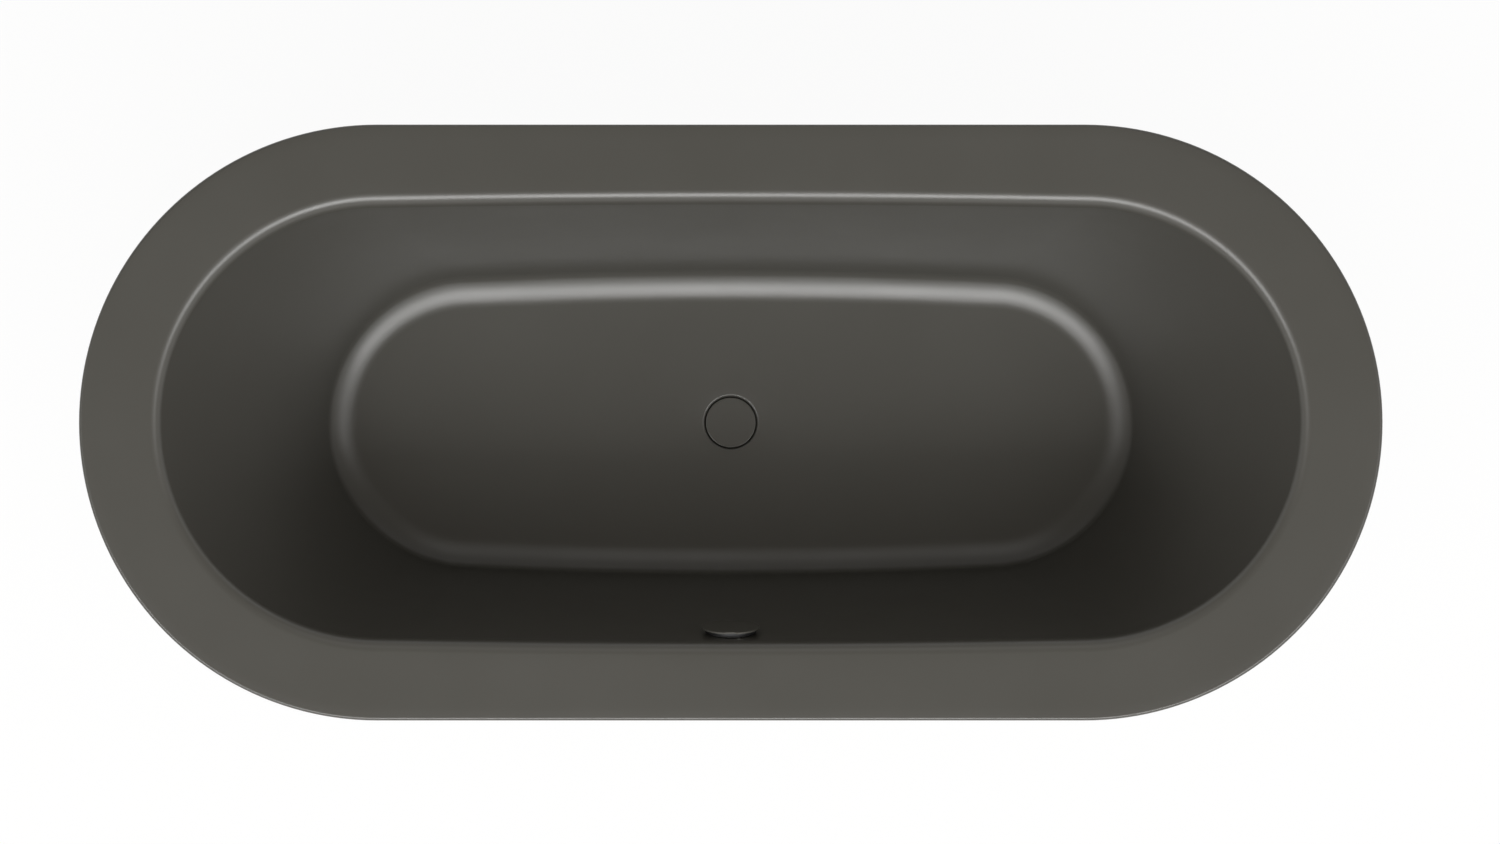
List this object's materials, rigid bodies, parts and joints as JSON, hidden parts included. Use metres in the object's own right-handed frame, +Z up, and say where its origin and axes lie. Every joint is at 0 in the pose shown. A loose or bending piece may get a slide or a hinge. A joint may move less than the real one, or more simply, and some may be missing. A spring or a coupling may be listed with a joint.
{
  "type": "freestanding bathtub",
  "caption": "Stadium-shaped freestanding steel bathtub with tapered skirt, levelling feet, pop-up waste worked by a turn knob, overflow hose and trap.",
  "frame": {"origin": "on the floor of the room under the middle of the tub, at the bottom of the feet", "axes": "+X along the tub, +Y across it away from the overflow, +Z up"},
  "size_m": [1.75, 0.8, 0.6],
  "materials": {
    "enamel": "satin",
    "skirt_enamel": "satin",
    "frame_paint": "matte",
    "zinc": "satin",
    "stainless": "satin",
    "rubber": "matte",
    "black_plastic": "matte",
    "hose_plastic": "satin"
  },
  "bodies": {
    "tub": {"tub_shell": "enamel", "skirt": "skirt_enamel", "rim_foam": "rubber", "skirt_edge_trim": "rubber", "sound_mats": "rubber", "base_frame": "frame_paint", "tube_end_caps": "black_plastic", "saddle_pads": "rubber", "skirt_brackets": "zinc", "bracket_bolts": "zinc", "threaded_bushes": "zinc", "lock_nuts": "zinc", "earth_lug": "zinc", "earth_screw": "zinc", "waste_flange": "stainless", "flange_gasket": "rubber", "waste_gasket": "rubber", "waste_body": "black_plastic", "trap_nuts": "black_plastic", "trap_bend": "black_plastic", "outlet_bend": "black_plastic", "overflow_plate": "stainless", "plate_gasket": "rubber", "plate_screws": "zinc", "overflow_gasket": "rubber", "overflow_body": "black_plastic", "hose_collars": "black_plastic", "overflow_hose": "hose_plastic", "control_cable": "hose_plastic"},
    "knob": {"overflow_knob": "enamel", "knob_spindle": "zinc"},
    "lift_pin": {"lift_pin": "zinc"},
    "lift_lever": {"lift_lever": "zinc"},
    "pull_rod": {"pull_rod": "zinc"},
    "plug": {"plug_cover": "enamel", "plug_seal": "rubber", "plug_stem": "zinc"},
    "foot_1": {"foot_pad_1": "rubber"},
    "stud_1": {"foot_stud_1": "zinc"},
    "foot_2": {"foot_pad_2": "rubber"},
    "stud_2": {"foot_stud_2": "zinc"},
    "foot_3": {"foot_pad_3": "rubber"},
    "stud_3": {"foot_stud_3": "zinc"},
    "foot_4": {"foot_pad_4": "rubber"},
    "stud_4": {"foot_stud_4": "zinc"}
  },
  "joints": [
    {"name": "knob_turn", "type": "hinge", "parent": "tub", "child": "knob", "pos_m": [0, -0.28284, 0.543], "axis": [0, 0.9744, 0.225], "range_deg": [0, 90]},
    {"name": "lift_pin_rise", "type": "slide", "parent": "tub", "child": "lift_pin", "axis": [0, 0, 1], "range_m": [0, 0.00901]},
    {"name": "lever_turn", "type": "hinge", "parent": "tub", "child": "lift_lever", "pos_m": [0, -0.01679, 0.1412], "axis": [1, 0, 0], "range_deg": [0, 30.1]},
    {"name": "rod_pull", "type": "slide", "parent": "tub", "child": "pull_rod", "axis": [0, -1, 0], "range_m": [0, 0.00623]},
    {"name": "plug_lift_out", "type": "slide", "parent": "lift_pin", "child": "plug", "axis": [0, 0, 1], "range_m": [0, 0.06]},
    {"name": "foot_1_height", "type": "slide", "parent": "tub", "child": "foot_1", "axis": [0, 0, -1], "range_m": [-0.003, 0.02]},
    {"name": "stud_1_turn", "type": "hinge", "parent": "foot_1", "child": "stud_1", "pos_m": [-0.42, -0.17, 0.05], "axis": [0, 0, 1], "range_deg": [-620, 4120]},
    {"name": "foot_2_height", "type": "slide", "parent": "tub", "child": "foot_2", "axis": [0, 0, -1], "range_m": [-0.003, 0.02]},
    {"name": "stud_2_turn", "type": "hinge", "parent": "foot_2", "child": "stud_2", "pos_m": [0.42, -0.17, 0.05], "axis": [0, 0, 1], "range_deg": [-620, 4120]},
    {"name": "foot_3_height", "type": "slide", "parent": "tub", "child": "foot_3", "axis": [0, 0, -1], "range_m": [-0.003, 0.02]},
    {"name": "stud_3_turn", "type": "hinge", "parent": "foot_3", "child": "stud_3", "pos_m": [-0.42, 0.17, 0.05], "axis": [0, 0, 1], "range_deg": [-620, 4120]},
    {"name": "foot_4_height", "type": "slide", "parent": "tub", "child": "foot_4", "axis": [0, 0, -1], "range_m": [-0.003, 0.02]},
    {"name": "stud_4_turn", "type": "hinge", "parent": "foot_4", "child": "stud_4", "pos_m": [0.42, 0.17, 0.05], "axis": [0, 0, 1], "range_deg": [-620, 4120]}
  ],
  "couplings": [
    {"joint": "lift_pin_rise", "follows": "knob_turn", "m_per_rad": 0.00573},
    {"joint": "lever_turn", "follows": "knob_turn", "ratio": 0.33333},
    {"joint": "rod_pull", "follows": "knob_turn", "m_per_rad": 0.003954},
    {"joint": "stud_1_turn", "follows": "foot_1_height", "rad_per_m": 3590.4},
    {"joint": "stud_2_turn", "follows": "foot_2_height", "rad_per_m": 3590.4},
    {"joint": "stud_3_turn", "follows": "foot_3_height", "rad_per_m": 3590.4},
    {"joint": "stud_4_turn", "follows": "foot_4_height", "rad_per_m": 3590.4}
  ]
}
